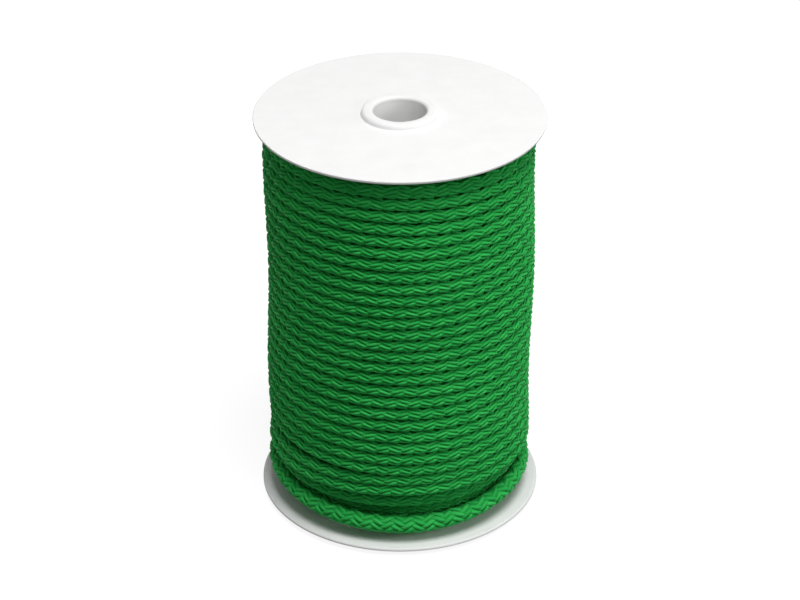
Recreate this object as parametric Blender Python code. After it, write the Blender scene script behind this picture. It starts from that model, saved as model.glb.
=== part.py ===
"""A flanged spool wound with braided cord, standing on its hub ring.

Two identical thin plastic flanges plug into the ends of a paper core tube. Each
has a round-edged hub ring outside, and a spigot with grip ribs and a gusseted
collar inside. The cord is taped to the tube, wound in plain inner layers, and
its outer layer runs down from the top flange. The last turns sit loose on the
bottom flange, and the sealed end is tucked under them.

The frame is in metres, +Z up, with the origin at the centre of the lower hub
ring's foot.
"""

import math

import bmesh
import bpy
import numpy as np
from mathutils import Matrix, Vector

# ---------------------------------------------------------------- sizes, in metres
OVERALL_HEIGHT = 0.1800

FLANGE_DIAMETER = 0.1200
FLANGE_THICKNESS = 0.0014
RIM_EDGE_ROUND = 0.0004

BORE_DIAMETER = 0.0220
HUB_RING_WALL = 0.0048
HUB_RING_HEIGHT = 0.0024
HUB_RING_ROUND = 0.0014
HUB_BASE_FILLET = 0.0006

SPIGOT_WALL = 0.0012
SPIGOT_LENGTH = 0.0140
SPIGOT_LEAD_IN = 0.0006
GRIP_RIB_HEIGHT = 0.0005
GRIP_RIB_WIDTH = 0.0012
GRIP_RIB_SETBACK = 0.0020  # from the spigot's end
GRIP_RIB_COUNT = 6

COLLAR_WALL = 0.0013
COLLAR_HEIGHT = 0.0040
GUSSET_LENGTH = 0.0070
GUSSET_END_HEIGHT = 0.0005
GUSSET_THICKNESS = 0.0012
GUSSET_COUNT = 8

TUBE_WALL = 0.0025
TUBE_EDGE_CHAMFER = 0.0003

CORD_DIAMETER = 0.00495  # as it lies under the winding tension
TURN_GAP = 0.00045  # the least that is left between one turn and the next
WOUND_DIAMETER = 0.1120  # over the outer layer

TAPE_WIDTH = 0.0240
TAPE_THICKNESS = 0.0004
START_END_LENGTH = 0.0400
START_END_RISE = 0.0020  # from the lower collar to the cord's first end

SEALED_TIP_LENGTH = 0.0026
SEALED_TIP_SWELL = 1.06  # the melted tip's diameter over the cord's

FIT_GAP = 0.0003  # between pieces that touch
CUT_OVERRUN = 0.0005  # how far a cutter runs past the face it cuts

# ---------------------------------------------------------------- counts
FLANGE_SEGMENTS = 60
TUBE_SEGMENTS = 36
PACK_SEGMENTS = 48
POINTS_PER_TURN = 24
ROUND_STEPS = 3  # facets in a rounded edge
FILLET_STEPS = 2
BELT_STEPS = 30  # round the tube, in the tape and its pocket
SMALL_ROUND_STEPS = 12  # round the cord's first end and its sealed tip
NOTCH_STEPS = 18

# ---------------------------------------------------------------- where the cord goes
# Turns are counted from the left side of the top, and a turn's angle grows as it descends.
START_ANGLE = math.pi
RISE_START = -0.4375  # the cord comes up from the layer beneath at the back
RISE_END = -0.0625
LOWER_PIECE_TURNS = 6.1875  # the lower turns are a piece of their own, cut off at the back

# The heights and insets below are in cord diameters, over the bottom flange and inside
# the outer layer. Each station is a turn after the last even one, the height of the cord's
# middle, its inset and its thickness over the wound cord's.
EVEN_TURNS_END = 0.5  # part of a turn, from the left
EVEN_TURNS_HEIGHT = 5.94
LOOSE_STATIONS = [
    (0.25, 5.60, 0.00, 1.00),
    (0.50, 5.15, -0.16, 1.02),
    (0.75, 5.06, -0.03, 1.00),
    (1.00, 4.83, 0.00, 1.00),
    (1.25, 4.43, 0.03, 1.00),
    (1.50, 3.86, 0.06, 1.02),
    (1.75, 3.48, 0.46, 1.03),
    (2.00, 3.56, 0.60, 1.03),
    (2.25, 3.20, 0.40, 1.08),
    (2.50, 2.42, -0.02, 1.22),
    (2.75, 1.50, 0.16, 1.36),
    (3.00, 1.95, 0.20, 1.34),
]
LYING_STATIONS = [(3.25, 0.22, 1.24), (3.4375, 0.24, 1.18)]  # on the flange, so without a height
LAYER_STEP = 0.95  # one layer's radius less the one under it
LOWER_STEP_HEIGHT = 4.5  # the inner layers are one layer thinner below this
LOWER_STEP_DEPTH = 0.70

# ---------------------------------------------------------------- worked out
bore_radius = BORE_DIAMETER / 2
flange_radius = FLANGE_DIAMETER / 2
hub_ring_radius = bore_radius + HUB_RING_WALL
spigot_radius = bore_radius + SPIGOT_WALL
tube_inner_radius = spigot_radius + GRIP_RIB_HEIGHT + FIT_GAP
tube_outer_radius = tube_inner_radius + TUBE_WALL
collar_inner_radius = tube_outer_radius + FIT_GAP
collar_outer_radius = collar_inner_radius + COLLAR_WALL

lower_face = HUB_RING_HEIGHT + FLANGE_THICKNESS  # inner face of the bottom flange
upper_face = OVERALL_HEIGHT - lower_face  # inner face of the top flange

cord_radius = CORD_DIAMETER / 2
layer_radius = WOUND_DIAMETER / 2 - cord_radius
layer_step = LAYER_STEP * CORD_DIAMETER
top_turn_height = upper_face - FIT_GAP - cord_radius
even_height = top_turn_height - lower_face - EVEN_TURNS_HEIGHT * CORD_DIAMETER
part_turn = EVEN_TURNS_END - RISE_START
even_turns = math.floor(even_height / (CORD_DIAMETER + TURN_GAP) - part_turn) + EVEN_TURNS_END
turn_pitch = even_height / (even_turns - RISE_START)
last_turn = even_turns + LYING_STATIONS[-1][0]
chord_drop = 1 - math.cos(math.pi / POINTS_PER_TURN)  # how far a facet's middle falls inside its ends
pack_radius = layer_radius * (1 - chord_drop) - cord_radius - FIT_GAP
pack_bore_radius = tube_outer_radius + FIT_GAP

# ---------------------------------------------------------------- colours, as linear values
MATERIALS = {
    "flange_plastic": ((0.90, 0.90, 0.90), 0.42),
    "core_board": ((0.62, 0.60, 0.57), 0.85),
    "cord": ((0.020, 0.230, 0.055), 0.75),
    "cord_inner": ((0.012, 0.150, 0.035), 0.80),
    "sealed_end": ((0.008, 0.110, 0.025), 0.30),
    "tape": ((0.78, 0.76, 0.70), 0.50),
}


def material(name):
    """A plain material of one colour and roughness."""
    made = bpy.data.materials.get(name)
    if made:
        return made
    colour, roughness = MATERIALS[name]
    made = bpy.data.materials.new(name)
    made.use_nodes = True
    surface = made.node_tree.nodes["Principled BSDF"]
    surface.inputs["Base Color"].default_value = (*colour, 1.0)
    surface.inputs["Roughness"].default_value = roughness
    made.diffuse_color = (*colour, 1.0)
    return made


def clear_scene():
    for old in list(bpy.data.objects):
        bpy.data.objects.remove(old)


def add_object(name, data, material_name):
    made = bpy.data.objects.new(name, data)
    bpy.context.scene.collection.objects.link(made)
    if material_name:
        data.materials.append(material(material_name))
    return made


def mesh_from(bm, name):
    """A mesh from bm with its faces turned out and its round parts shaded smooth."""
    bmesh.ops.recalc_face_normals(bm, faces=bm.faces)
    mesh = bpy.data.meshes.new(name)
    bm.to_mesh(mesh)
    bm.free()
    mesh.shade_smooth()
    mesh.set_sharp_from_angle(angle=math.radians(35))
    return mesh


def arc(centre, radius, start_degrees, end_degrees, steps=ROUND_STEPS):
    """Points (radius, height) of an arc in a turned profile."""
    angles = np.radians(np.linspace(start_degrees, end_degrees, steps + 1))
    return [(centre[0] + radius * math.cos(a), centre[1] + radius * math.sin(a)) for a in angles]


def turned(profile, segments):
    """A bmesh of a closed profile of (radius, height) points turned about the Z axis."""
    bm = bmesh.new()
    corners = [bm.verts.new((r, 0, z)) for r, z in profile]
    edges = [bm.edges.new(pair) for pair in zip(corners, corners[1:] + corners[:1])]
    bmesh.ops.spin(
        bm,
        geom=corners + edges,
        axis=(0, 0, 1),
        cent=(0, 0, 0),
        angle=2 * math.pi,
        steps=segments,
        use_merge=True,
    )
    bmesh.ops.remove_doubles(bm, verts=bm.verts, dist=1e-6)
    return bm


def extruded(outline, low, high):
    """A bmesh of a closed outline of (x, y) points between two heights."""
    bm = bmesh.new()
    face = bm.faces.new([bm.verts.new((x, y, low)) for x, y in outline])
    grown = bmesh.ops.extrude_face_region(bm, geom=[face])["geom"]
    tops = [v for v in grown if isinstance(v, bmesh.types.BMVert)]
    bmesh.ops.translate(bm, verts=tops, vec=(0, 0, high - low))
    return bm


def add_cutter(name, bm):
    """A helper that only cuts, so it isn't rendered."""
    made = add_object(name, mesh_from(bm, name), None)
    made.hide_render = True
    made.display_type = "WIRE"
    return made


def boolean(target, other, operation):
    change = target.modifiers.new(f"{operation.lower()}_{other.name}", "BOOLEAN")
    change.operation = operation
    change.solver = "EXACT"
    change.object = other


# ---------------------------------------------------------------- flanges
def flange_profile():
    """Half section of a flange: height 0 is its inner face, and outwards is up."""
    outer_face = FLANGE_THICKNESS
    hub_top = outer_face + HUB_RING_HEIGHT
    fillet = min(HUB_BASE_FILLET, HUB_RING_HEIGHT / 3)
    edge = min(HUB_RING_ROUND, HUB_RING_WALL / 3, HUB_RING_HEIGHT - fillet)
    rim = min(RIM_EDGE_ROUND, FLANGE_THICKNESS / 3)
    points = arc((bore_radius + edge, hub_top - edge), edge, 180, 90)
    points += arc((hub_ring_radius - edge, hub_top - edge), edge, 90, 0)
    points += arc((hub_ring_radius + fillet, outer_face + fillet), fillet, 180, 270, FILLET_STEPS)
    points += [(flange_radius - rim, outer_face), (flange_radius, outer_face - rim)]
    points += [(flange_radius, rim), (flange_radius - rim, 0)]
    points += [(collar_outer_radius, 0), (collar_outer_radius, -COLLAR_HEIGHT)]
    points += [(collar_inner_radius, -COLLAR_HEIGHT), (collar_inner_radius, 0)]
    points += [(spigot_radius, 0), (spigot_radius, SPIGOT_LEAD_IN - SPIGOT_LENGTH)]
    points += [(spigot_radius - SPIGOT_LEAD_IN, -SPIGOT_LENGTH), (bore_radius, -SPIGOT_LENGTH)]
    return points


def gusset(angle):
    """A triangular web between the collar and the flange's inner face."""
    inner = collar_outer_radius - COLLAR_WALL / 2
    outer = collar_outer_radius + GUSSET_LENGTH
    sunk = FLANGE_THICKNESS / 2
    corners = [(inner, sunk), (outer, sunk), (outer, -GUSSET_END_HEIGHT), (inner, -COLLAR_HEIGHT)]
    return radial_plate(corners, GUSSET_THICKNESS, angle)


def grip_rib(angle):
    """A low rib along the spigot that grips the inside of the tube."""
    inner = spigot_radius - SPIGOT_WALL / 2
    outer = spigot_radius + GRIP_RIB_HEIGHT
    sunk = FLANGE_THICKNESS / 2
    end = GRIP_RIB_SETBACK - SPIGOT_LENGTH
    corners = [(inner, sunk), (outer, sunk), (outer, end + GRIP_RIB_HEIGHT), (inner, end - SPIGOT_WALL / 2)]
    return radial_plate(corners, GRIP_RIB_WIDTH, angle)


def radial_plate(corners, thickness, angle):
    """A plate of (radius, height) corners, centred on a radial plane at an angle."""
    bm = bmesh.new()
    face = bm.faces.new([bm.verts.new((r, -thickness / 2, z)) for r, z in corners])
    grown = bmesh.ops.extrude_face_region(bm, geom=[face])["geom"]
    moved = [v for v in grown if isinstance(v, bmesh.types.BMVert)]
    bmesh.ops.translate(bm, verts=moved, vec=(0, thickness, 0))
    bmesh.ops.rotate(bm, verts=bm.verts, cent=(0, 0, 0), matrix=Matrix.Rotation(angle, 3, "Z"))
    return bm


def joined_plates(name, maker, count):
    """One cutter mesh of separate plates spaced evenly round the axis."""
    mesh = bpy.data.meshes.new(name)
    whole = bmesh.new()
    for number in range(count):
        plate = maker(2 * math.pi * (number + 0.5) / count)
        bmesh.ops.recalc_face_normals(plate, faces=plate.faces)
        plate.to_mesh(mesh)
        plate.free()
        whole.from_mesh(mesh)
    bpy.data.meshes.remove(mesh)
    return add_cutter(name, whole)


def add_flanges():
    """The two flanges share one moulding, and the bottom one is turned over."""
    mesh = mesh_from(turned(flange_profile(), FLANGE_SEGMENTS), "flange")
    gussets = joined_plates("gusset_set", gusset, GUSSET_COUNT)
    ribs = joined_plates("grip_rib_set", grip_rib, GRIP_RIB_COUNT)
    places = {"top_flange": (upper_face, 0.0), "bottom_flange": (lower_face, math.pi)}
    for name, (height, turn) in places.items():
        flange = add_object(name, mesh.copy(), "flange_plastic")
        flange.location = (0, 0, height)
        flange.rotation_euler = (turn, 0, 0)
        for added in (gussets, ribs):
            copy = add_object(f"{name}_{added.name}", added.data, None)
            copy.hide_render = True
            copy.display_type = "WIRE"
            copy.parent = flange
            boolean(flange, copy, "UNION")
    bpy.data.objects.remove(gussets)
    bpy.data.objects.remove(ribs)


# ---------------------------------------------------------------- core tube and the cord's start
def add_core_tube():
    low = lower_face + FIT_GAP
    high = upper_face - FIT_GAP
    edge = TUBE_EDGE_CHAMFER
    inner, outer = tube_inner_radius, tube_outer_radius
    profile = [
        (inner + edge, low),
        (inner, low + edge),
        (inner, high - edge),
        (inner + edge, high),
        (outer - edge, high),
        (outer, high - edge),
        (outer, low + edge),
        (outer - edge, low),
    ]
    add_object("core_tube", mesh_from(turned(profile, TUBE_SEGMENTS), "core_tube"), "core_board")


start_end_offset = tube_outer_radius + FIT_GAP + cord_radius  # from the tube's axis
start_end_low = lower_face + COLLAR_HEIGHT + START_END_RISE
tape_middle = start_end_low + START_END_LENGTH / 2


def belt(grown):
    """The outline of a band pulled round the tube and the cord's first end, grown by a distance."""
    big = tube_outer_radius + FIT_GAP + grown
    small = cord_radius + FIT_GAP + grown
    lean = math.acos((big - small) / start_end_offset)
    round_tube = np.linspace(lean, 2 * math.pi - lean, BELT_STEPS + 1)
    round_cord = np.linspace(-lean, lean, SMALL_ROUND_STEPS // 2 + 1)
    outline = [(big * math.cos(a), big * math.sin(a)) for a in round_tube]
    outline += [(start_end_offset + small * math.cos(a), small * math.sin(a)) for a in round_cord]
    return outline


def add_start_tape():
    low = tape_middle - TAPE_WIDTH / 2
    high = tape_middle + TAPE_WIDTH / 2
    bm = bmesh.new()
    rings = []
    for grown, height in ((TAPE_THICKNESS, low), (TAPE_THICKNESS, high), (0.0, high), (0.0, low)):
        rings.append([bm.verts.new((x, y, height)) for x, y in belt(grown)])
    for ring, following in zip(rings, rings[1:] + rings[:1]):
        for i in range(len(ring)):
            j = (i + 1) % len(ring)
            bm.faces.new((ring[i], ring[j], following[j], following[i]))
    add_object("start_tape", mesh_from(bm, "start_tape"), "tape")


def tube_curve(name, points, radii, resolution, material_name):
    """A round tube on straight runs between points, with closed ends and one radius a point."""
    curve = bpy.data.curves.new(name, "CURVE")
    curve.dimensions = "3D"
    curve.bevel_depth = 1.0
    curve.bevel_resolution = resolution
    curve.use_fill_caps = True
    curve.twist_mode = "Z_UP"
    spline = curve.splines.new("POLY")
    spline.points.add(len(points) - 1)
    for point, place, radius in zip(spline.points, points, radii):
        point.co = (*place, 1.0)
        point.radius = radius
    return add_object(name, curve, material_name)


def add_cord_start():
    """The cord's first end lies along the tube, under the tape."""
    low = Vector((start_end_offset, 0, start_end_low))
    high = low + Vector((0, 0, START_END_LENGTH))
    tube_curve("cord_start_end", [low, high], [cord_radius] * 2, 2, "cord_inner")


# ---------------------------------------------------------------- the wound cord
def smooth(x):
    x = min(max(x, 0.0), 1.0)
    return x * x * (3 - 2 * x)


def even_turn_height(turn):
    return top_turn_height - turn_pitch * (turn - RISE_START)


def through(stations, turn):
    """A smooth curve through stations of (turn, values...), by cubic Hermite pieces."""
    turns = np.array([s[0] for s in stations])
    values = np.array([s[1:] for s in stations])
    slopes = np.gradient(values, turns, axis=0)
    i = int(np.clip(np.searchsorted(turns, turn) - 1, 0, len(turns) - 2))
    span = turns[i + 1] - turns[i]
    x = (turn - turns[i]) / span
    return (
        (2 * x**3 - 3 * x**2 + 1) * values[i]
        + (x**3 - 2 * x**2 + x) * span * slopes[i]
        + (3 * x**2 - 2 * x**3) * values[i + 1]
        + (x**3 - x**2) * span * slopes[i + 1]
    )


def lower_route():
    """Stations of turn, height, radius and thickness, from the end of the even turns to the sealed end."""
    ends = (even_turns - 0.5, even_turns - 0.25, even_turns)
    route = [(turn, even_turn_height(turn), layer_radius, 1.0) for turn in ends]
    for after, height, inset, thickness in LOOSE_STATIONS:
        middle = lower_face + height * CORD_DIAMETER
        route.append((even_turns + after, middle, layer_radius - inset * CORD_DIAMETER, thickness))
    for after, inset, thickness in LYING_STATIONS:
        middle = lower_face + FIT_GAP + cord_radius * thickness
        route.append((even_turns + after, middle, layer_radius - inset * CORD_DIAMETER, thickness))
    return route


def cord_station(turn):
    """(height, radius, thickness) of the cord at a turn."""
    if turn > even_turns - 0.25:
        return through(lower_route(), turn)
    climbed = smooth((turn - RISE_START) / (RISE_END - RISE_START))
    return even_turn_height(turn), layer_radius - layer_step * (1 - climbed), 1.0


def cord_points():
    """(point, radius of the tube) all along the outer layer and the lower turns."""
    count = round((last_turn - RISE_START) * POINTS_PER_TURN)
    points, radii = [], []
    for turn in np.linspace(RISE_START, last_turn, count + 1):
        height, radius, thickness = cord_station(turn)
        angle = START_ANGLE + 2 * math.pi * turn
        points.append(Vector((radius * math.cos(angle), radius * math.sin(angle), height)))
        radii.append(cord_radius * thickness)
    return points, radii


def split(points, radii, at):
    """The cord cut in the middle of a straight run, with the usual gap between the two ends."""
    middle = (points[at] + points[at + 1]) / 2
    along = (points[at + 1] - points[at]).normalized() * FIT_GAP / 2
    radius = (radii[at] + radii[at + 1]) / 2
    first = (points[: at + 1] + [middle - along], radii[: at + 1] + [radius])
    second = ([middle + along] + points[at + 1 :], [radius] + radii[at + 1 :])
    return first, second


def least_gap(points, radii):
    """The least distance between the tube's surface and itself, measured between its straight runs."""
    fine, thick = [], []
    for a, b, ra, rb in zip(points, points[1:], radii, radii[1:]):
        for x in np.linspace(0, 1, 4, endpoint=False):
            fine.append(a.lerp(b, x))
            thick.append(ra + (rb - ra) * x)
    fine = np.array(fine)
    thick = np.array(thick)
    apart = POINTS_PER_TURN * 2  # half a turn, in these finer points
    least = math.inf
    for i in range(len(fine) - apart):
        away = np.linalg.norm(fine[i + apart :] - fine[i], axis=1)
        least = min(least, float((away - thick[i + apart :] - thick[i]).min()))
    return least


def add_sealed_tip(end, along, radius):
    """The melted end: a short swollen button just past the last straight run."""
    swollen = radius * SEALED_TIP_SWELL
    edge = min(SEALED_TIP_LENGTH / 3, swollen / 2)
    profile = [(0, 0), (0, SEALED_TIP_LENGTH)]
    profile += arc((swollen - edge, SEALED_TIP_LENGTH - edge), edge, 90, 0)
    profile += [(swollen, edge), (radius, 0)]
    bm = bmesh.new()
    corners = [bm.verts.new((r, 0, z)) for r, z in profile]
    edges = [bm.edges.new(pair) for pair in zip(corners[1:], corners[2:])]
    edges.append(bm.edges.new((corners[-1], corners[0])))
    axis = {"axis": (0, 0, 1), "cent": (0, 0, 0), "angle": 2 * math.pi}
    bmesh.ops.spin(bm, geom=corners + edges, steps=SMALL_ROUND_STEPS, use_merge=True, **axis)
    bmesh.ops.remove_doubles(bm, verts=bm.verts, dist=1e-6)
    tip = add_object("cord_sealed_tip", mesh_from(bm, "cord_sealed_tip"), "sealed_end")
    tip.location = end + along * FIT_GAP
    tip.rotation_mode = "QUATERNION"
    tip.rotation_quaternion = along.to_track_quat("Z", "Y")


def add_cord():
    points, radii = cord_points()
    print(f"cord: {len(points)} points, least gap to itself {least_gap(points, radii) * 1000:.2f} mm")
    first_middle = (points[0] + points[1]) / 2
    points[0] = first_middle  # so that the end face lies in a radial plane
    at = len(points) - 1 - round(LOWER_PIECE_TURNS * POINTS_PER_TURN)
    outer, lower = split(points, radii, at)
    tube_curve("cord_outer_layer", *outer, 1, "cord")
    tube_curve("cord_lower_turns", *lower, 1, "cord")
    along = (lower[0][-1] - lower[0][-2]).normalized()
    add_sealed_tip(lower[0][-1], along, lower[1][-1])
    return points[0]


def sector(inner, outer, low, high, start, end, steps):
    """A bmesh of a ring's sector between two angles."""
    bm = bmesh.new()
    turn = Matrix.Rotation(start, 4, "Z")
    corners = [(inner, low), (outer, low), (outer, high), (inner, high)]
    face = bm.faces.new([bm.verts.new(turn @ Vector((r, 0, z))) for r, z in corners])
    bmesh.ops.spin(
        bm, geom=[face], axis=(0, 0, 1), cent=(0, 0, 0), angle=end - start, steps=steps, use_duplicate=False
    )
    return bm


def add_inner_layers(cord_start):
    """The layers under the outer one: a plain turned body, relieved round the flanges' collars."""
    low = lower_face + FIT_GAP
    high = upper_face - FIT_GAP
    step = lower_face + LOWER_STEP_HEIGHT * CORD_DIAMETER
    lower_radius = pack_radius - LOWER_STEP_DEPTH * CORD_DIAMETER
    relief = COLLAR_HEIGHT + FIT_GAP
    neck = collar_outer_radius + FIT_GAP * 2
    mouth = collar_outer_radius + GUSSET_LENGTH + FIT_GAP * 3
    profile = [
        (pack_bore_radius, low + relief),
        (neck, low + relief),
        (mouth, low + GUSSET_END_HEIGHT + FIT_GAP),
        (mouth, low),
        (lower_radius, low),
        (lower_radius, step),
        (pack_radius, step),
        (pack_radius, high),
        (mouth, high),
        (mouth, high - GUSSET_END_HEIGHT - FIT_GAP),
        (neck, high - relief),
        (pack_bore_radius, high - relief),
    ]
    mesh = mesh_from(turned(profile, PACK_SEGMENTS), "cord_inner_layers")
    pack = add_object("cord_inner_layers", mesh, "cord_inner")

    notch_start = math.atan2(cord_start.y, cord_start.x) - FIT_GAP / layer_radius
    notch_end = START_ANGLE + 2 * math.pi * RISE_END
    notch_floor = (layer_radius - layer_step) * (1 - chord_drop) - cord_radius - FIT_GAP
    notch_low = even_turn_height(RISE_END) - cord_radius - FIT_GAP
    notch = sector(notch_floor, WOUND_DIAMETER, notch_low, high + CUT_OVERRUN, notch_start, notch_end, NOTCH_STEPS)
    boolean(pack, add_cutter("rise_notch", notch), "DIFFERENCE")

    room = start_end_low - FIT_GAP, start_end_low + START_END_LENGTH + FIT_GAP
    channel = [
        (start_end_offset + (cord_radius + FIT_GAP) * math.cos(a), (cord_radius + FIT_GAP) * math.sin(a))
        for a in np.linspace(0, 2 * math.pi, SMALL_ROUND_STEPS, endpoint=False)
    ]
    boolean(pack, add_cutter("start_end_channel", extruded(channel, *room)), "DIFFERENCE")
    half = TAPE_WIDTH / 2 + FIT_GAP
    pocket = extruded(belt(TAPE_THICKNESS + FIT_GAP), tape_middle - half, tape_middle + half)
    boolean(pack, add_cutter("tape_pocket", pocket), "DIFFERENCE")


clear_scene()
add_flanges()
add_core_tube()
add_start_tape()
add_cord_start()
add_inner_layers(add_cord())
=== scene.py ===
import math

import bpy
import numpy as np
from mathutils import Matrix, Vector


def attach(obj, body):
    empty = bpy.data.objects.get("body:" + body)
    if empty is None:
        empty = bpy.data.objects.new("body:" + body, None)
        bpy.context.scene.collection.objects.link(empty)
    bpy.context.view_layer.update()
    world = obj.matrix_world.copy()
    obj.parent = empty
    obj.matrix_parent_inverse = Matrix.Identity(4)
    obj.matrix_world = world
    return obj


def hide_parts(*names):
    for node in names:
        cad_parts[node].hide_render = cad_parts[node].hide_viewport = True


# The look of a white flanged spool wound with sixteen-plait green polypropylene cord.
# Metres, +Z up, the spool's axis on Z and its lower hub ring standing on the floor.

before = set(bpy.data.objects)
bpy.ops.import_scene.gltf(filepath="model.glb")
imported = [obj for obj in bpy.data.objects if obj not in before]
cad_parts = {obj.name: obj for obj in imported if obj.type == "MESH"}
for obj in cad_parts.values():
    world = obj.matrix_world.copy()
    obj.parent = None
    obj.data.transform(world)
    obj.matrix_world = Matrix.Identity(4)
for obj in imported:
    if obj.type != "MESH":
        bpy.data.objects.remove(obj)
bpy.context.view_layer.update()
MM = 0.001

# ---------------------------------------------------------------- the spool
OVERALL_HEIGHT = 0.1800
FIT_GAP = 0.0003  # between the cord and the flange or tube that it lies against
TUBE_OUTER_RADIUS = 0.0155
FLANGE_RADIUS = 0.0600
FLANGE_THICKNESS = 0.0014
RIM_TOP_ROUND = 0.0003
RIM_UNDER_ROUND = 0.0009
BORE_RADIUS = 0.0110
HUB_RING_HEIGHT = 0.0024
HUB_RING_RADIUS = 0.0158
HUB_RING_ROUND = 0.0014
HUB_BASE_FILLET = 0.0006
SPIGOT_RADIUS = 0.0122
SPIGOT_LENGTH = 0.0140
SPIGOT_LEAD_IN = 0.0006
PLATE_THICKNESS = 0.0012  # of the grip ribs and the gussets
GRIP_RIB_OUTER_RADIUS = 0.0127
GRIP_RIB_END = 0.0120  # from the flange's inner face
GRIP_RIB_COUNT = 6
COLLAR_INNER_RADIUS = 0.0158
COLLAR_OUTER_RADIUS = 0.0171
COLLAR_HEIGHT = 0.0040
GUSSET_OUTER_RADIUS = 0.0241
GUSSET_END_HEIGHT = 0.0005
GUSSET_COUNT = 8

lower_face = HUB_RING_HEIGHT + FLANGE_THICKNESS
upper_face = OVERALL_HEIGHT - lower_face

# ---------------------------------------------------------------- the winding
CORD_DIAMETER = 0.00495  # as it lies under the winding tension
TURN_GAP = 0.00045  # at least this much between even turns
WOUND_DIAMETER = 0.1120
LAYER_STEP = 0.95  # cord diameters from one layer to the next
START_ANGLE = math.pi  # turns are counted from the left, and come round the front first
QUARTER_TURN = 0.25
RISE_START = -0.4375  # the cord climbs from the layer beneath at the back of the top
RISE_END = -0.0625
EVEN_TURNS_END = 0.5  # at the right
EVEN_TURNS_HEIGHT = 5.94  # cord diameters over the lower flange, for the last even turn's end
LOOSE_START = -0.75  # the even turns sag from here, measured from their end
SAG_AT_LEFT = (-0.50, 0.69)  # where, measured the same way, and by how many cord diameters
# Turn after the last even one, height and inset in cord diameters, thickness over the wound cord's
LOOSE_STATIONS = [
    (0.25, 5.60, 0.00, 1.00),
    (0.50, 4.70, -0.10, 1.02),
    (0.75, 5.20, -0.03, 1.00),
    (1.00, 4.90, 0.00, 1.00),
    (1.25, 4.43, 0.03, 1.00),
    (1.50, 3.60, 0.30, 1.02),
    (1.75, 3.72, 0.62, 1.03),
    (2.00, 3.62, 0.66, 1.03),
    (2.25, 3.20, 0.40, 1.08),
    (2.50, 2.54, -0.02, 1.26),
    (2.75, 1.58, 0.12, 1.46),
    (3.00, 2.12, 0.20, 1.40),
]
LYING_STATIONS = [(3.25, 0.22, 1.24), (3.4375, 0.24, 1.18)]  # on the flange, so without a height
START_END_LOW = 0.0098  # the cord's first end stands up from here
START_END_LENGTH = 0.0400
START_END_THICKNESS = 0.85  # of the wound cord's, so that it stays under the tape

# Waves that a hand leaves in the winding, each with its size, its pace and its start in radians.
# The pace is in radians for each radian round the spool, and for each turn in the lay's drift.
HEIGHT_WANDER = ((0.00028, 1.07, 0.6), (0.00014, 1.91, 2.0))
RADIUS_WANDER = ((0.00040, 0.95, 1.7), (0.00025, 3.06, 0.0))
LAY_DRIFT = ((0.012, 2.3, 0.0), (0.008, 5.1, 1.0))
WANDER_TURNS = 2  # turns from each end of the even ones until they wander freely
PRESSED_IN = 0.0002  # how far the outer turns press into the layer beneath

cord_radius = CORD_DIAMETER / 2
layer_radius = WOUND_DIAMETER / 2 - cord_radius
layer_step = LAYER_STEP * CORD_DIAMETER
top_turn_height = upper_face - FIT_GAP - cord_radius
bottom_turn_height = lower_face + FIT_GAP + cord_radius
even_height = top_turn_height - lower_face - EVEN_TURNS_HEIGHT * CORD_DIAMETER
part_turn = EVEN_TURNS_END - RISE_START
even_turns = math.floor(even_height / (CORD_DIAMETER + TURN_GAP) - part_turn) + EVEN_TURNS_END
turn_pitch = even_height / (even_turns - RISE_START)
last_turn = even_turns + LYING_STATIONS[-1][0]

# ---------------------------------------------------------------- the plait
PLAITS_EACH_WAY = 8  # sixteen in all, each over two and under two
PLAIT_STEP = 360 / PLAITS_EACH_WAY  # degrees round the cord
FLOAT_REPEAT = 2 * PLAIT_STEP  # a plait comes over again when it has gone this far round
TIGHT_LAY = 0.0391  # along the cord for one trip of a plait round it
LOOSE_LAY = 0.0330
SLACK_THICKENING = 0.24  # where the cord is thicker by this share, its lay is the loose one
ROLL = 11.5  # degrees that the plait's rows are rolled, outwards being 0 and up 90
HALF_DEEP = 0.00285  # half of the cord outwards, over the plaits
HALF_TALL = 0.00265  # half of it along the spool
PLAIT_SWING = 0.00045  # from the middle of the skin to the middle of an upper plait
PLAIT_COVER = 0.72  # of the room between neighbours
PLAIT_ROUND = 0.00055  # how far a plait's back stands over its edges
BACK_POWER = 1.9  # of the back's section: 2 is a parabola, and more is flatter on top
DIVE_STEEPNESS = 1.7  # 1 is an even wave, and more lies flat for longer and dives faster
WIDTH_SPREAD = 0.03  # of a float's width and lift from one to the next
LIFT_SPREAD = 0.10
FLOAT_STATIONS = (-1.4, -1.05, -0.68, 0.0, 0.68, 1.05, 1.4)  # in crossings from a float's middle
BACK_STATIONS = (-1.0, -0.7, -0.25, 0.25, 0.7, 1.0)  # in half widths from the middle of its back
FLOAT_LENGTH = TIGHT_LAY / PLAITS_EACH_WAY
STREAK_SHIFT = 50  # millimetres of yarn from which each float's streaks are taken
HEART_DEPTH = 0.00078  # the inside of the cord starts here, coloured darker as painted shade between the plaits
CORD_SIDES = 10  # of the heart, and of the cord that stays out of sight
CORD_CREASE = 62  # degrees: edges sharper than this aren't shaded round

# Spans of degrees round the cord in which the plait is raised, outwards being 0 and up 90
SEEN_OUTER = (-106.0, 104.0)
SEEN_UNDER_TOP = (-100.0, 112.0)
SEEN_UNDER_FOOT = (-112.0, 112.0)
SEEN_ALL_ROUND = (-181.0, 181.0)

# How light a yarn is, in spreads from the usual one. The heart's value is painted shade, for the shade
# between and under the plaits.
HEART_PAINTED_SHADE = -3.0
BARE_SHADE = -0.5

SEED = 7
SEEDS_A_TURN = 16  # so that each run of cord has chance numbers of its own


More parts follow.
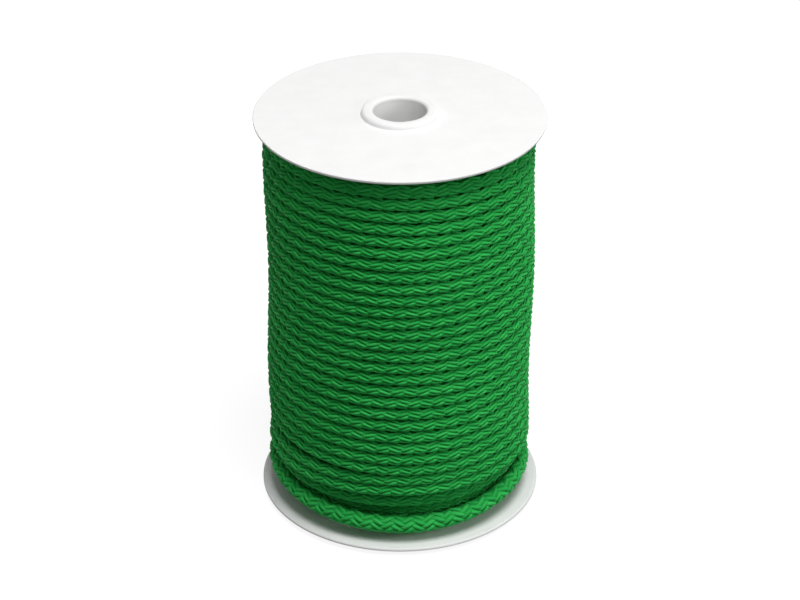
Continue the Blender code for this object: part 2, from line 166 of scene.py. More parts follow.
# ---------------------------------------------------------------- meshes
def mesh_from_arrays(name, points, corners, sizes):
    """A mesh from an (n, 3) array, its faces' corners in one flat array, and their counts."""
    mesh = bpy.data.meshes.new(name)
    mesh.vertices.add(len(points))
    mesh.vertices.foreach_set("co", points.astype(np.float32).ravel())
    mesh.loops.add(len(corners))
    mesh.loops.foreach_set("vertex_index", corners.astype(np.int32))
    mesh.polygons.add(len(sizes))
    starts = np.concatenate([[0], np.cumsum(sizes)[:-1]])
    mesh.polygons.foreach_set("loop_start", starts.astype(np.int32))
    mesh.update(calc_edges=True)
    mesh.shade_smooth()
    return mesh


def joined(name, *parts):
    """One mesh of several sets of points, corners and sizes."""
    begun = np.cumsum([0] + [len(part[0]) for part in parts[:-1]])
    points = np.concatenate([part[0] for part in parts])
    corners = np.concatenate([part[1] + start for part, start in zip(parts, begun)])
    return mesh_from_arrays(name, points, corners, np.concatenate([part[2] for part in parts]))


def closed_rod(rows, columns):
    """Corners and sizes of the faces round rows of points, with one face over each end."""
    grid = np.arange(rows * columns).reshape(rows, columns)
    ring = np.concatenate([grid, grid[:, :1]], 1)
    quads = np.stack([ring[:-1, :-1], ring[:-1, 1:], ring[1:, 1:], ring[1:, :-1]], -1).reshape(-1)
    corners = np.concatenate([quads, grid[0][::-1], grid[-1]])
    sizes = np.array([4] * ((rows - 1) * columns) + [columns] * 2)
    return corners, sizes


def add_piece(name, mesh, material, stands_for):
    """Adds a visible piece that takes the place of a node of the solids, alone or with others."""
    piece = bpy.data.objects.new(name, mesh)
    bpy.context.scene.collection.objects.link(piece)
    mesh.materials.clear()
    mesh.materials.append(material)
    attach(piece, "root")
    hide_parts(stands_for)


# ---------------------------------------------------------------- colours and finishes
STREAK_LENGTH = 2.0  # millimetres along the yarn
STREAKS_A_HALF_WIDTH = 4.0  # across it, which makes each 0.2 mm wide
CLOUD_SIZE = 11.1 * MM
GRAIN_SIZE = 0.714 * MM
SEAM_PITCH = 70 * MM  # from one turn of the board's strip to the next
SEAM_WIDTH = 0.6 * MM
FIBRE_LENGTH = 1.43 * MM
CREPE_STEP = 0.625 * MM  # from one wrinkle to the next
CREPE_STRETCH = 0.12  # of the scale along the wrinkles, which makes them 5 mm long
LUMP_SIZE = 1.25 * MM
MIX_FIRST = 6  # sockets of a colour mix, whose own names repeat
MIX_SECOND = 7
MIXED = 2


def linear(code):
    """An sRGB hex colour as linear values, with full alpha."""
    parts = [int(code[i : i + 2], 16) / 255 for i in (1, 3, 5)]
    return (*[p / 12.92 if p <= 0.04045 else ((p + 0.055) / 1.055) ** 2.4 for p in parts], 1.0)


def node(material, kind, settings=None, inputs=None):
    """Adds a node. settings are its own properties, and inputs are values or other nodes' outputs."""
    made = material.node_tree.nodes.new(kind)
    for key, value in (settings or {}).items():
        setattr(made, key, value)
    for key, value in (inputs or {}).items():
        if isinstance(value, bpy.types.NodeSocket):
            material.node_tree.links.new(value, made.inputs[key])
        else:
            made.inputs[key].default_value = value
    return made


def new_material(name):
    material = bpy.data.materials.new(name)
    material.use_nodes = True
    material.node_tree.nodes.clear()
    return material


def finish_surface(material, shader):
    node(material, "ShaderNodeOutputMaterial", inputs={"Surface": shader.outputs[0]})
    return material


def plaited_polypropylene():
    """Dyed polypropylene multifilament, plaited: thousands of fine drawn filaments a yarn.

    The eye sees soft streaks along each yarn, yarns that are a little lighter or darker than
    their neighbours, a dull green sheen and no sharp highlight."""
    m = new_material("plaited_polypropylene")
    shade = node(m, "ShaderNodeAttribute", {"attribute_name": "shade"})
    span = node(
        m,
        "ShaderNodeMapRange",
        inputs={"Value": shade.outputs["Fac"], "From Min": -6.0, "From Max": 4.0},
    )  # so the usual yarn is nearer to the light green, and the heart to the dark one, which is painted shade between the plaits
    mix = node(
        m,
        "ShaderNodeMix",
        {"data_type": "RGBA"},
        {"Factor": span.outputs["Result"], MIX_FIRST: linear("#0D9038"), MIX_SECOND: linear("#40CA62")},
    )
    place = node(m, "ShaderNodeUVMap", {"uv_map": "along_the_yarn"})
    # UVs are millimetres along the yarn and half widths across it. Real filaments are 0.03 mm,
    # too fine to show, so the streaks are drawn coarser.
    drawn = node(
        m,
        "ShaderNodeMapping",
        inputs={"Vector": place.outputs[0], "Scale": (1 / STREAK_LENGTH, STREAKS_A_HALF_WIDTH, 1.0)},
    )
    fibre = node(m, "ShaderNodeTexNoise", inputs={"Vector": drawn.outputs[0], "Scale": 1.0, "Detail": 2.0})
    bump = node(
        m,
        "ShaderNodeBump",
        inputs={"Strength": 0.5, "Distance": 0.04 * MM, "Height": fibre.outputs[0]},
    )
    shader = node(
        m,
        "ShaderNodeBsdfPrincipled",
        inputs={
            "Base Color": mix.outputs[MIXED],
            "Roughness": 0.55,
            "IOR": 1.49,
            "Specular IOR Level": 0.08,  # the filaments scatter most of what one surface would mirror
            "Specular Tint": linear("#8CE09A"),
            "Sheen Weight": 0.12,  # loose filaments that catch the light at the sides
            "Sheen Roughness": 0.4,
            "Sheen Tint": linear("#86E08C"),
            "Normal": bump.outputs[0],
        },
    )
    return finish_surface(m, shader)


def moulded_polystyrene():
    """White high-impact polystyrene, injection-moulded in a thin disc.

    It is an even, nearly matt white, a touch cloudy where the melt flowed out from the hub,
    with a fine spark-eroded grain from the mould."""
    m = new_material("moulded_polystyrene")
    place = node(m, "ShaderNodeTexCoord")
    flow = node(
        m,
        "ShaderNodeTexNoise",
        inputs={"Vector": place.outputs["Object"], "Scale": 1 / CLOUD_SIZE, "Detail": 3.0, "Roughness": 0.6},
    )
    cloud = node(
        m,
        "ShaderNodeMix",
        {"data_type": "RGBA"},
        {"Factor": flow.outputs[0], MIX_FIRST: linear("#EDEDEC"), MIX_SECOND: linear("#F8F8F8")},
    )
    grain = node(
        m,
        "ShaderNodeTexNoise",
        inputs={"Vector": place.outputs["Object"], "Scale": 1 / GRAIN_SIZE, "Detail": 2.0},
    )  # drawn coarse, as the real grain of 0.05 mm is too fine to show
    bump = node(
        m,
        "ShaderNodeBump",
        inputs={"Strength": 0.25, "Distance": 0.05 * MM, "Height": grain.outputs[0]},
    )
    shader = node(
        m,
        "ShaderNodeBsdfPrincipled",
        inputs={
            "Base Color": cloud.outputs[MIXED],
            "Roughness": 0.6,
            "IOR": 1.57,
            "Specular IOR Level": 0.35,  # its matt skin mirrors less than a polished one
            "Normal": bump.outputs[0],
        },
    )
    return finish_surface(m, shader)


def spiral_wound_board():
    """Recycled kraft board, wound in a spiral: matt grey-brown pulp with short darker fibres and a
    fine dark seam that climbs round the tube where one strip ends beside the next."""
    m = new_material("spiral_wound_board")
    place = node(m, "ShaderNodeTexCoord")
    axes = node(m, "ShaderNodeSeparateXYZ", inputs={0: place.outputs["Object"]})
    x, y, z = (axes.outputs[axis] for axis in "XYZ")
    angle = node(m, "ShaderNodeMath", {"operation": "ARCTAN2"}, {0: y, 1: x})
    turned = node(m, "ShaderNodeMath", {"operation": "DIVIDE"}, {0: angle.outputs[0], 1: 2 * math.pi})
    climb = node(m, "ShaderNodeMath", {"operation": "DIVIDE"}, {0: z, 1: SEAM_PITCH})
    strips = node(m, "ShaderNodeMath", {"operation": "ADD"}, {0: climb.outputs[0], 1: turned.outputs[0]})
    across = node(m, "ShaderNodeMath", {"operation": "FRACT"}, {0: strips.outputs[0]})
    seam = node(
        m,
        "ShaderNodeMath",
        {"operation": "LESS_THAN"},
        {0: across.outputs[0], 1: SEAM_WIDTH / SEAM_PITCH},
    )
    fibres = node(
        m,
        "ShaderNodeTexNoise",
        inputs={
            "Vector": place.outputs["Object"],
            "Scale": 1 / FIBRE_LENGTH,
            "Detail": 4.0,
            "Roughness": 0.7,
        },
    )
    pulp = node(
        m,
        "ShaderNodeMix",
        {"data_type": "RGBA"},
        {"Factor": fibres.outputs[0], MIX_FIRST: linear("#968C7E"), MIX_SECOND: linear("#C4BBAC")},
    )
    colour = node(
        m,
        "ShaderNodeMix",
        {"data_type": "RGBA"},
        {"Factor": seam.outputs[0], MIX_FIRST: pulp.outputs[MIXED], MIX_SECOND: linear("#6E6558")},
    )
    bump = node(
        m,
        "ShaderNodeBump",
        inputs={"Strength": 0.3, "Distance": 0.1 * MM, "Height": fibres.outputs[0]},
    )
    shader = node(
        m,
        "ShaderNodeBsdfPrincipled",
        inputs={
            "Base Color": colour.outputs[MIXED],
            "Roughness": 0.85,
            "IOR": 1.45,
            "Normal": bump.outputs[0],
        },
    )
    return finish_surface(m, shader)


def creped_paper_tape():
    """Masking tape, creped paper: dull cream with fine wrinkles that run across the tape, which is
    wound round the tube, so that they stand upright here."""
    m = new_material("creped_paper_tape")
    place = node(m, "ShaderNodeTexCoord")
    upright = node(
        m,
        "ShaderNodeMapping",
        inputs={"Vector": place.outputs["Object"], "Scale": (1.0, 1.0, CREPE_STRETCH)},
    )
    crepe = node(
        m,
        "ShaderNodeTexNoise",
        inputs={"Vector": upright.outputs[0], "Scale": 1 / CREPE_STEP, "Detail": 2.0},
    )
    colour = node(
        m,
        "ShaderNodeMix",
        {"data_type": "RGBA"},
        {"Factor": crepe.outputs[0], MIX_FIRST: linear("#D8CFB2"), MIX_SECOND: linear("#EDE6CE")},
    )
    bump = node(
        m,
        "ShaderNodeBump",
        inputs={"Strength": 0.5, "Distance": 0.12 * MM, "Height": crepe.outputs[0]},
    )
    shader = node(
        m,
        "ShaderNodeBsdfPrincipled",
        inputs={
            "Base Color": colour.outputs[MIXED],
            "Roughness": 0.65,
            "IOR": 1.47,
            "Normal": bump.outputs[0],
        },
    )
    return finish_surface(m, shader)


def melted_polypropylene():
    """The same green polypropylene, melted and pressed: darker than the yarn because it is solid,
    glossy, and lumpy where it was pinched off."""
    m = new_material("melted_polypropylene")
    place = node(m, "ShaderNodeTexCoord")
    lumps = node(
        m,
        "ShaderNodeTexNoise",
        inputs={"Vector": place.outputs["Object"], "Scale": 1 / LUMP_SIZE, "Detail": 1.0},
    )
    colour = node(
        m,
        "ShaderNodeMix",
        {"data_type": "RGBA"},
        {"Factor": lumps.outputs[0], MIX_FIRST: linear("#063D16"), MIX_SECOND: linear("#0E6427")},
    )
    bump = node(
        m,
        "ShaderNodeBump",
        inputs={"Strength": 0.8, "Distance": 0.5 * MM, "Height": lumps.outputs[0]},
    )
    shader = node(
        m,
        "ShaderNodeBsdfPrincipled",
        inputs={
            "Base Color": colour.outputs[MIXED],
            "Roughness": 0.3,
            "IOR": 1.49,
            "Normal": bump.outputs[0],
        },
    )
    return finish_surface(m, shader)


def finish_solid(name, finish):
    """Gives its finish to a node of the solids that is seen as it is."""
    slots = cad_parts[name].data.materials
    slots.clear()
    slots.append(finish)


cord_finish = plaited_polypropylene()
flange_finish = moulded_polystyrene()
finish_solid("core_tube", spiral_wound_board())
finish_solid("start_tape", creped_paper_tape())
finish_solid("cord_sealed_tip", melted_polypropylene())

# ---------------------------------------------------------------- the flanges
FLANGE_SEGMENTS = 288
ROUND_STEPS = 6  # edges in the section of each round
FLAT_MARGIN = 0.0002  # keeps the rounds' shading off the flat face
FLANGE_CREASE = 40  # degrees: edges sharper than this aren't shaded round


def arc(middle, radius, start, end):
    """Points of a round in a half section, from one angle to another."""
    angles = np.radians(np.linspace(start, end, ROUND_STEPS + 1))
    return [(middle[0] + radius * math.cos(a), middle[1] + radius * math.sin(a)) for a in angles]


def lathed(profile):
    """A closed half section of (radius, height) turned round the axis, as points, corners and sizes."""
    profile = np.array(profile)
    after = np.roll(profile, -1, axis=0)
    if (profile[:, 0] * after[:, 1] - after[:, 0] * profile[:, 1]).sum() < 0:
        profile = profile[::-1]
    angle = np.arange(FLANGE_SEGMENTS) * 2 * np.pi / FLANGE_SEGMENTS
    x = np.outer(profile[:, 0], np.cos(angle))
    y = np.outer(profile[:, 0], np.sin(angle))
    z = np.repeat(profile[:, 1], FLANGE_SEGMENTS).reshape(x.shape)
    points = np.stack([x, y, z], -1)
    grid = np.arange(x.size).reshape(x.shape)
    right, down = np.roll(grid, -1, axis=1), np.roll(grid, -1, axis=0)
    corners = np.stack([grid, right, np.roll(down, -1, axis=1), down], -1).reshape(-1)
    return points.reshape(-1, 3), corners, np.full(len(corners) // 4, 4)


def radial_plates(section, count):
    """Plates of four (radius, height) corners, spaced evenly round the axis."""
    angle = 2 * np.pi * (np.arange(count) + 0.5) / count
    across = np.array([-PLATE_THICKNESS / 2, PLATE_THICKNESS / 2])
    r, z = np.array(section).T
    r, z, side, turned = np.broadcast_arrays(r, z, across[:, None], angle[:, None, None])
    x = r * np.cos(turned) - side * np.sin(turned)
    y = r * np.sin(turned) + side * np.cos(turned)
    points = np.stack([x, y, z], -1).reshape(-1, 3)
    upright = section[0][1] > section[3][1]  # of a flange with its outer side up
    faces = [[0, 1, 2, 3], [7, 6, 5, 4], [0, 4, 5, 1], [1, 5, 6, 2], [2, 6, 7, 3], [3, 7, 4, 0]]
    one = np.array([face if upright else face[::-1] for face in faces]).ravel()
    points_a_plate = 2 * len(section)
    corners = (one[None] + points_a_plate * np.arange(count)[:, None]).ravel()
    return points, corners, np.full(len(corners) // 4, 4)


def flange_section():
    """Half section of a flange: height 0 is its inner face, and outwards is up."""
    outer_face = FLANGE_THICKNESS
    hub_top = outer_face + HUB_RING_HEIGHT
    flat_start = HUB_RING_RADIUS + HUB_BASE_FILLET
    flat_end = FLANGE_RADIUS - RIM_TOP_ROUND
    section = arc((BORE_RADIUS + HUB_RING_ROUND, hub_top - HUB_RING_ROUND), HUB_RING_ROUND, 180, 90)
    section += arc((HUB_RING_RADIUS - HUB_RING_ROUND, hub_top - HUB_RING_ROUND), HUB_RING_ROUND, 90, 0)
    section += arc((flat_start, outer_face + HUB_BASE_FILLET), HUB_BASE_FILLET, 180, 270)
    section += [(flat_start + FLAT_MARGIN, outer_face), (flat_end - FLAT_MARGIN, outer_face)]
    section += arc((flat_end, outer_face - RIM_TOP_ROUND), RIM_TOP_ROUND, 90, 0)
    section += arc((FLANGE_RADIUS - RIM_UNDER_ROUND, RIM_UNDER_ROUND), RIM_UNDER_ROUND, 0, -90)
    section += [(FLANGE_RADIUS - RIM_UNDER_ROUND - FLAT_MARGIN, 0)]
    section += [(COLLAR_OUTER_RADIUS, 0), (COLLAR_OUTER_RADIUS, -COLLAR_HEIGHT)]
    section += [(COLLAR_INNER_RADIUS, -COLLAR_HEIGHT), (COLLAR_INNER_RADIUS, 0)]
    section += [(SPIGOT_RADIUS, 0), (SPIGOT_RADIUS, SPIGOT_LEAD_IN - SPIGOT_LENGTH)]
    section += [(SPIGOT_RADIUS - SPIGOT_LEAD_IN, -SPIGOT_LENGTH), (BORE_RADIUS, -SPIGOT_LENGTH)]
    return section


def gusset_section():
    """A gusset from the collar to the disc. It starts inside both."""
    collar_middle = (COLLAR_INNER_RADIUS + COLLAR_OUTER_RADIUS) / 2
    disc_middle = FLANGE_THICKNESS / 2
    section = [(collar_middle, disc_middle), (GUSSET_OUTER_RADIUS, disc_middle)]
    section += [(GUSSET_OUTER_RADIUS, -GUSSET_END_HEIGHT), (collar_middle, -COLLAR_HEIGHT)]
    return section


def grip_rib_section():
    """A rib along the spigot that bites in the tube. It starts inside the spigot's wall and the disc."""
    wall_middle = (BORE_RADIUS + SPIGOT_RADIUS) / 2
    disc_middle = FLANGE_THICKNESS / 2
    rise = GRIP_RIB_OUTER_RADIUS - SPIGOT_RADIUS
    section = [(wall_middle, disc_middle), (GRIP_RIB_OUTER_RADIUS, disc_middle)]
    section += [(GRIP_RIB_OUTER_RADIUS, rise - GRIP_RIB_END), (wall_middle, -GRIP_RIB_END - rise)]
    return section


def add_flange(name, stands_for, face, outwards):
    """A flange with its inner face at a height, with the gussets and grip ribs of its inner side."""

    def placed(section):
        return [(radius, face + outwards * height) for radius, height in section]

    mesh = joined(
        name,
        lathed(placed(flange_section())),
        radial_plates(placed(gusset_section()), GUSSET_COUNT),
        radial_plates(placed(grip_rib_section()), GRIP_RIB_COUNT),
    )
    mesh.set_sharp_from_angle(angle=math.radians(FLANGE_CREASE))
    add_piece(name, mesh, flange_finish, stands_for)


add_flange("top_flange_moulding", "top_flange", upper_face, 1)
add_flange("bottom_flange_moulding", "bottom_flange", lower_face, -1)


# ---------------------------------------------------------------- the cord's line
def smooth(x):
    """From 0 to 1 with a soft start and end."""
    x = np.clip(x, 0.0, 1.0)
    return x * x * (3 - 2 * x)


def waves(at, parts):
    """Sine waves of (size, pace, start) added up."""
    return sum(size * np.sin(pace * at + start) for size, pace, start in parts)


def through(stations, turns):
    """A smooth curve through stations of (turn, values...), by cubic Hermite pieces."""
    at = np.array([s[0] for s in stations])
    values = np.array([s[1:] for s in stations])
    slopes = np.gradient(values, at, axis=0)
    i = np.clip(np.searchsorted(at, turns) - 1, 0, len(at) - 2)
    span = (at[i + 1] - at[i])[:, None]
    x = (turns - at[i])[:, None] / span
    return (
        (2 * x**3 - 3 * x**2 + 1) * values[i]
        + (x**3 - 2 * x**2 + x) * span * slopes[i]
        + (3 * x**2 - 2 * x**3) * values[i + 1]
        + (x**3 - x**2) * span * slopes[i + 1]
    )


class Line:
    """The cord's middle line, with its outward and upward directions and the plait's way round it."""

    def __init__(self, turns, middle, outward, thickness, lay):
        along = np.gradient(middle, axis=0)
        step = np.linalg.norm(along, axis=1)
        along /= step[:, None]
        self.turns = turns
        self.middle = middle
        self.out = outward - along * (outward * along).sum(1)[:, None]
        self.out /= np.linalg.norm(self.out, axis=1)[:, None]
        self.up = np.cross(self.out, along)
        self.thickness = thickness
        self.phase = np.concatenate([[0], np.cumsum(360 * (step / lay)[:-1])])

    def at(self, phase):
        """Middle, outward, upward and thickness where the plait has gone round by phase degrees."""
        places = [np.interp(phase, self.phase, column) for column in self.middle.T]
        outs = [np.interp(phase, self.phase, column) for column in self.out.T]
        ups = [np.interp(phase, self.phase, column) for column in self.up.T]
        thick = np.interp(phase, self.phase, self.thickness)
        return np.stack(places, -1), np.stack(outs, -1), np.stack(ups, -1), thick

    def skin(self, phase, round_cord, sunk):
        """Points of the cord's skin at angles round it, sunk below the plaits' backs."""
        middle, out, up, thick = self.at(phase)
        a = np.radians(round_cord)
        deep = HALF_DEEP * thick - sunk
        tall = HALF_TALL * thick - sunk
        return middle + out * (deep * np.cos(a))[..., None] + up * (tall * np.sin(a))[..., None]


def wound(turns, height, radius, thickness, lay):
    """The line of cord wound round the spool's axis."""
    angle = START_ANGLE + 2 * np.pi * turns
    outward = np.stack([np.cos(angle), np.sin(angle), np.zeros_like(angle)], 1)
    middle = outward * radius[:, None] + np.array([0, 0, 1.0]) * height[:, None]
    return Line(turns, middle, outward, thickness, lay)


# ---------------------------------------------------------------- runs of cord
HEART_STEPS = 48  # rows a turn of the heart
BARE_STEPS = 24  # and of the cord that stays out of sight


def floats(line, first, last, seen, rng):
    """Every float of the plait, where a plait lies over two others, with its middle between two turns.

    Each is a closed patch with one rounded back. It dives under its neighbours at both ends, and
    its ends lie along the plaits that cross it. seen is the span of degrees round the cord in which
    floats are drawn. Returned as points, corners, sizes, shades and places on the yarn."""
    ahead, across = np.meshgrid(FLOAT_STATIONS, BACK_STATIONS, indexing="ij")
    swing = np.sin(np.pi / 2 * np.clip(DIVE_STEEPNESS * np.cos(np.pi * ahead / 2), -1, 1))
    back = 1 - np.abs(across) ** BACK_POWER
    wanted = np.interp([first, last], line.turns, line.phase)
    plaits = PLAIT_STEP * np.arange(PLAITS_EACH_WAY)
    points, shades, places = [], [], []
    for way, offset in ((-1, PLAIT_STEP / 4), (1, 5 * PLAIT_STEP / 4)):
        from_number = math.ceil((wanted[0] - offset) / FLOAT_REPEAT)
        to_number = math.floor((wanted[1] - offset) / FLOAT_REPEAT)
        centres = offset + FLOAT_REPEAT * np.arange(from_number, to_number + 1)
        middle, plait = [g.ravel() for g in np.meshgrid(centres, plaits, indexing="ij")]
        round_cord = (plait + way * middle + ROLL + 180) % 360 - 180
        kept = (round_cord > seen[0]) & (round_cord < seen[1])
        middle, round_cord = middle[kept], round_cord[kept]
        count = len(middle)
        width = PLAIT_STEP / 2 * PLAIT_COVER * (1 + rng.normal(0, WIDTH_SPREAD, count))
        lift = 1 + rng.normal(0, LIFT_SPREAD, count)
        side = across[None] * width[:, None, None]
        phase = middle[:, None, None] + PLAIT_STEP / 2 * ahead[None] - way * side / 2
        angle = round_cord[:, None, None] + way * PLAIT_STEP / 2 * ahead[None] + side / 2
        sunk = PLAIT_SWING * lift[:, None, None] * (1 - swing[None]) + PLAIT_ROUND * (1 - back[None])
        skin = line.skin(phase, angle, sunk)
        points.append(skin if way > 0 else skin[:, :, ::-1])
        shades.append(rng.normal(0, 1, count))
        begun = rng.uniform(0, STREAK_SHIFT, count)[:, None, None]
        along = begun + ahead[None] * FLOAT_LENGTH / MM / 2
        places.append(np.stack([along, begun + side / width.mean()], -1))
    points = np.concatenate(points)
    count, rows, columns, _ = points.shape
    one, sizes = closed_rod(rows, columns)
    corners = (one[None] + (np.arange(count) * rows * columns)[:, None]).ravel()
    shades = np.repeat(np.concatenate(shades), rows * columns)
    places = np.concatenate(places).reshape(-1, 2)
    return points.reshape(-1, 3), corners, np.tile(sizes, count), shades, places


def tube(line, first, last, steps_a_turn, sunk):
    """A closed tube along the line between two turns, sunk below the plaits' backs."""
    turns = np.linspace(first, last, max(2, round((last - first) * steps_a_turn)) + 1)
    phase = np.interp(turns, line.turns, line.phase)
    angle = np.arange(CORD_SIDES) * 360.0 / CORD_SIDES
    phase, angle = np.meshgrid(phase, angle, indexing="ij")
    points = line.skin(phase, angle, sunk)
    return points.reshape(-1, 3), *closed_rod(len(turns), CORD_SIDES)


def set_shade(mesh, shades):
    """Tells the cord's finish how light the yarn is at each point; on the heart this darkness is painted
    shade.
    """
    shade = mesh.attributes.new("shade", "FLOAT", "POINT")
    shade.data.foreach_set("value", shades.astype(np.float32))


def cord_piece(name, line, first, last, seen, stands_for):
    """A run of plaited cord between two turns: its floats over its heart, which is darkened as painted
    shade.
    """
    rng = np.random.default_rng(SEED + round(abs(first) * SEEDS_A_TURN))
    points, corners, sizes, shades, places = floats(line, first, last, seen, rng)
    heart, heart_corners, heart_sizes = tube(line, first, last, HEART_STEPS, HEART_DEPTH)
    mesh = joined(name, (points, corners, sizes), (heart, heart_corners, heart_sizes))
    mesh.set_sharp_from_angle(angle=math.radians(CORD_CREASE))
    # the heart gets a darker colour: painted shade between and under the plaits
    set_shade(mesh, np.concatenate([shades, np.full(len(heart), HEART_PAINTED_SHADE)]))
    corners = np.concatenate([corners, heart_corners + len(points)])
    places = np.concatenate([places, np.zeros((len(heart), 2))])
    along_the_yarn = mesh.uv_layers.new(name="along_the_yarn")
    along_the_yarn.uv.foreach_set("vector", places[corners].astype(np.float32).ravel())
    add_piece(name, mesh, cord_finish, stands_for)


def bare_piece(name, line, first, last):
    """A run of the inner layers that stays out of sight, so its plait isn't raised."""
    mesh = joined(name, tube(line, first, last, BARE_STEPS, PLAIT_SWING))
    set_shade(mesh, np.full(len(mesh.vertices), BARE_SHADE))
    add_piece(name, mesh, cord_finish, "cord_inner_layers")


# ---------------------------------------------------------------- the outer layer and the lower turns
OUTER_POINTS = 360  # a turn
OUTER_CUTS = (6.0, 12.0, 18.0)  # the outer layer is one cord, drawn in runs of a handy size
LOWER_TURNS = 6.1875  # the last ones, which are a node of their own


def even_turn_height(turns):
    """Height of the cord's middle where the turns are even."""
    return top_turn_height - turn_pitch * (turns - RISE_START)


def lower_route():
    """Stations of (turn, height, radius, thickness) from the last even turns to the cord's end."""
    sag_turn, sag = SAG_AT_LEFT
    route = []
    for after in (LOOSE_START - QUARTER_TURN, LOOSE_START, sag_turn, -QUARTER_TURN, 0.0):
        drop = sag * CORD_DIAMETER if after == sag_turn else 0
        route.append((even_turns + after, even_turn_height(even_turns + after) - drop, layer_radius, 1.0))
    for after, height, inset, thickness in LOOSE_STATIONS:
        middle = lower_face + height * CORD_DIAMETER
        route.append((even_turns + after, middle, layer_radius - inset * CORD_DIAMETER, thickness))
    for after, inset, thickness in LYING_STATIONS:
        middle = lower_face + FIT_GAP + cord_radius * thickness
        route.append((even_turns + after, middle, layer_radius - inset * CORD_DIAMETER, thickness))
    return route


def outer_route(turns):
    """(height, radius, thickness) of the outer layer and the lower turns, before they wander."""
    climbed = smooth((turns - RISE_START) / (RISE_END - RISE_START))
    even_radius = layer_radius - layer_step * (1 - climbed)
    even = np.stack([even_turn_height(turns), even_radius, np.ones_like(turns)], 1)
    loose_from = even_turns + LOOSE_START
    low = through(lower_route(), np.maximum(turns, loose_from))
    return np.where((turns > loose_from)[:, None], low, even)


def outer_line():
    """The outer layer and the lower turns. They wander most where nothing guides them."""
    turns = np.linspace(RISE_START, last_turn, round((last_turn - RISE_START) * OUTER_POINTS) + 1)
    height, radius, thickness = outer_route(turns).T
    slack = smooth((thickness - 1.0) / SLACK_THICKENING)
    lay = (LOOSE_LAY + (TIGHT_LAY - LOOSE_LAY) * (1 - slack)) * (1 + waves(turns, LAY_DRIFT))
    around = 2 * np.pi * turns
    hand_laid = smooth(turns / WANDER_TURNS) * smooth((even_turns - turns) / WANDER_TURNS)
    height = height + hand_laid * waves(around, HEIGHT_WANDER)
    radius = radius + hand_laid * waves(around, RADIUS_WANDER)
    return wound(turns, height, radius - PRESSED_IN, thickness, lay)


outer = outer_line()
cuts = [RISE_START, *OUTER_CUTS, last_turn - LOWER_TURNS, last_turn]
for number, (first, last) in enumerate(zip(cuts, cuts[1:]), 1):
    stands_for = "cord_lower_turns" if last == last_turn else "cord_outer_layer"
    cord_piece(f"cord_turns_{number}", outer, first, last, SEEN_OUTER, stands_for)

# ---------------------------------------------------------------- the layers underneath
INNER_LAYERS = 7
INNER_POINTS = 180  # a turn
SHORT_LAYER_FOOT = 0.0285  # the layer under the outer one stops here, over the bottom flange
TOP_TURNS_SEEN = 2.2  # turns whose plait shows under the top flange and in the rise
LOW_TURNS_SEEN = 5.2  # turns whose plait shows behind the loose ones
turns_a_layer = (top_turn_height - bottom_turn_height) / turn_pitch


def layer_line(layer):
    """Layer 0 lies under the outer one and was wound upwards, the next downwards, and so on."""
    end = RISE_START - layer * turns_a_layer
    turns = np.linspace(end - turns_a_layer, end, round(turns_a_layer * INNER_POINTS) + 1)
    wound_so_far = (turns - turns[0]) * turn_pitch
    height = bottom_turn_height + wound_so_far if layer % 2 == 0 else top_turn_height - wound_so_far
    radius = np.full_like(turns, layer_radius - layer_step * (1 + layer))
    return wound(turns, height, radius, np.ones_like(turns), np.full_like(turns, TIGHT_LAY))


inner = [layer_line(layer) for layer in range(INNER_LAYERS)]
short_layer, next_layer = inner[:2]
short_layer_start = short_layer.turns[0] + (SHORT_LAYER_FOOT - bottom_turn_height) / turn_pitch
top_turn = short_layer.turns[-1]
top_seen = top_turn - TOP_TURNS_SEEN
low_turn = next_layer.turns[-1]
low_seen = low_turn - LOW_TURNS_SEEN
cord_piece("cord_under_top", short_layer, top_seen, top_turn, SEEN_UNDER_TOP, "cord_inner_layers")
bare_piece("cord_layer_1", short_layer, short_layer_start, top_seen)
cord_piece("cord_under_foot", next_layer, low_seen, low_turn, SEEN_UNDER_FOOT, "cord_inner_layers")
bare_piece("cord_layer_2", next_layer, next_layer.turns[0], low_seen)
for number, line in enumerate(inner[2:], 3):
    bare_piece(f"cord_layer_{number}", line, line.turns[0], line.turns[-1])

# ---------------------------------------------------------------- the cord's first end, under the tape
START_END_POINTS = 81


def first_end_line():
    """Upright against the tube. Its places are metres along it instead of turns."""
    along = np.linspace(0, START_END_LENGTH, START_END_POINTS)
    from_axis = np.full_like(along, TUBE_OUTER_RADIUS + FIT_GAP + cord_radius)
    middle = np.stack([from_axis, np.zeros_like(along), START_END_LOW + along], 1)
    outward = np.zeros_like(middle) + np.array([1.0, 0, 0])
    thickness = np.full_like(along, START_END_THICKNESS)
    return Line(along, middle, outward, thickness, np.full_like(along, LOOSE_LAY))


cord_piece("cord_first_end", first_end_line(), 0.0, START_END_LENGTH, SEEN_ALL_ROUND, "cord_start_end")

# ---------------------------------------------------------------- floor, light and camera
SPOOL_MIDDLE = (0, 0, OVERALL_HEIGHT / 2)
FLOOR_REACH = 3.0
FLOOR_COLOUR = "#8C8C8C"
FLOOR_LIFT = 0.88  # glow that brings the lit floor up to white, seen directly
FILL_LIGHT = 0.20  # of the world, where it lights the spool
CAMERA_PLACE = (0.0, -0.97146, 0.65324)
CAMERA_DIP = 30.1  # degrees below level
SENSOR_WIDTH = 36.0  # millimetres, as is the lens
FOCAL_LENGTH = 119.27


def seen_directly(material):
    """1 for camera, glossy and transmission rays, and 0 for the rays that light the object."""
    path = node(material, "ShaderNodeLightPath")
    seen = path.outputs["Is Camera Ray"]
    for kind in ("Is Glossy Ray", "Is Transmission Ray"):
        either = node(material, "ShaderNodeMath", {"operation": "MAXIMUM"}, {0: seen, 1: path.outputs[kind]})
        seen = either.outputs[0]
    return seen


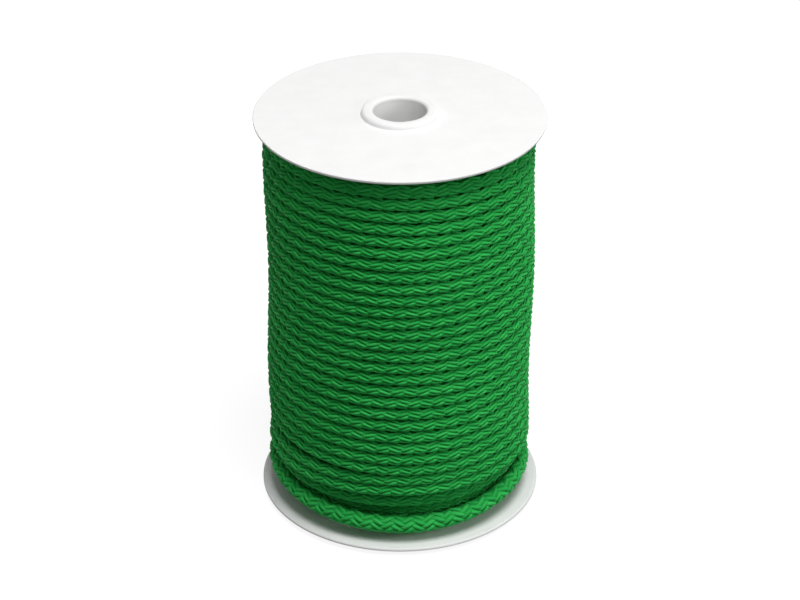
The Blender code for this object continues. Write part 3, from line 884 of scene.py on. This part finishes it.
def add_floor():
    """A plain pale floor that keeps the spool's shadow and is otherwise seen as white."""
    corners = [(x * FLOOR_REACH, y * FLOOR_REACH, 0) for x, y in ((-1, -1), (1, -1), (1, 1), (-1, 1))]
    mesh = bpy.data.meshes.new("floor")
    mesh.from_pydata(corners, [], [(0, 1, 2, 3)])
    floor = bpy.data.objects.new("floor", mesh)
    bpy.context.scene.collection.objects.link(floor)
    m = new_material("pale_floor")
    lift = node(m, "ShaderNodeMath", {"operation": "MULTIPLY"}, {0: seen_directly(m), 1: FLOOR_LIFT})
    matt = node(m, "ShaderNodeBsdfDiffuse", inputs={"Color": linear(FLOOR_COLOUR)})
    glow = node(m, "ShaderNodeEmission", inputs={"Strength": lift.outputs[0]})
    both = node(m, "ShaderNodeAddShader", inputs={0: matt.outputs[0], 1: glow.outputs[0]})
    finish_surface(m, both)
    mesh.materials.append(m)


def add_softbox(name, place, side, watts):
    """A square soft lamp that looks at the middle of the spool."""
    data = bpy.data.lights.new(name, "AREA")
    data.size = side
    data.energy = watts
    lamp = bpy.data.objects.new(name, data)
    bpy.context.scene.collection.objects.link(lamp)
    lamp.location = place
    lamp.rotation_mode = "QUATERNION"
    lamp.rotation_quaternion = (Vector(SPOOL_MIDDLE) - Vector(place)).to_track_quat("-Z", "Y")


def add_world():
    """Dim even light on the object, and white where the backdrop is seen directly."""
    world = bpy.data.worlds.new("studio")
    bpy.context.scene.world = world
    world.use_nodes = True
    world.node_tree.nodes.clear()
    dim = node(world, "ShaderNodeBackground", inputs={"Color": linear("#FFFFFF"), "Strength": FILL_LIGHT})
    white = node(world, "ShaderNodeBackground", inputs={"Color": linear("#FFFFFF"), "Strength": 1.0})
    both = node(
        world,
        "ShaderNodeMixShader",
        inputs={0: seen_directly(world), 1: dim.outputs[0], 2: white.outputs[0]},
    )
    node(world, "ShaderNodeOutputWorld", inputs={"Surface": both.outputs[0]})


def add_camera():
    """A camera at the photograph's viewing angle, in front and above."""
    data = bpy.data.cameras.new("camera")
    camera = bpy.data.objects.new("camera", data)
    bpy.context.scene.collection.objects.link(camera)
    camera.location = CAMERA_PLACE
    camera.rotation_euler = (math.radians(90 - CAMERA_DIP), 0, 0)
    data.sensor_width = SENSOR_WIDTH
    data.lens = FOCAL_LENGTH
    bpy.context.scene.camera = camera


add_floor()
add_softbox("overhead_softbox", place=(0.18, -0.33, 1.28), side=0.62, watts=12.2)
add_softbox("side_softbox", place=(1.10, -0.45, 0.60), side=0.30, watts=2.8)
add_world()
add_camera()
bpy.context.scene.view_settings.view_transform = "Standard"
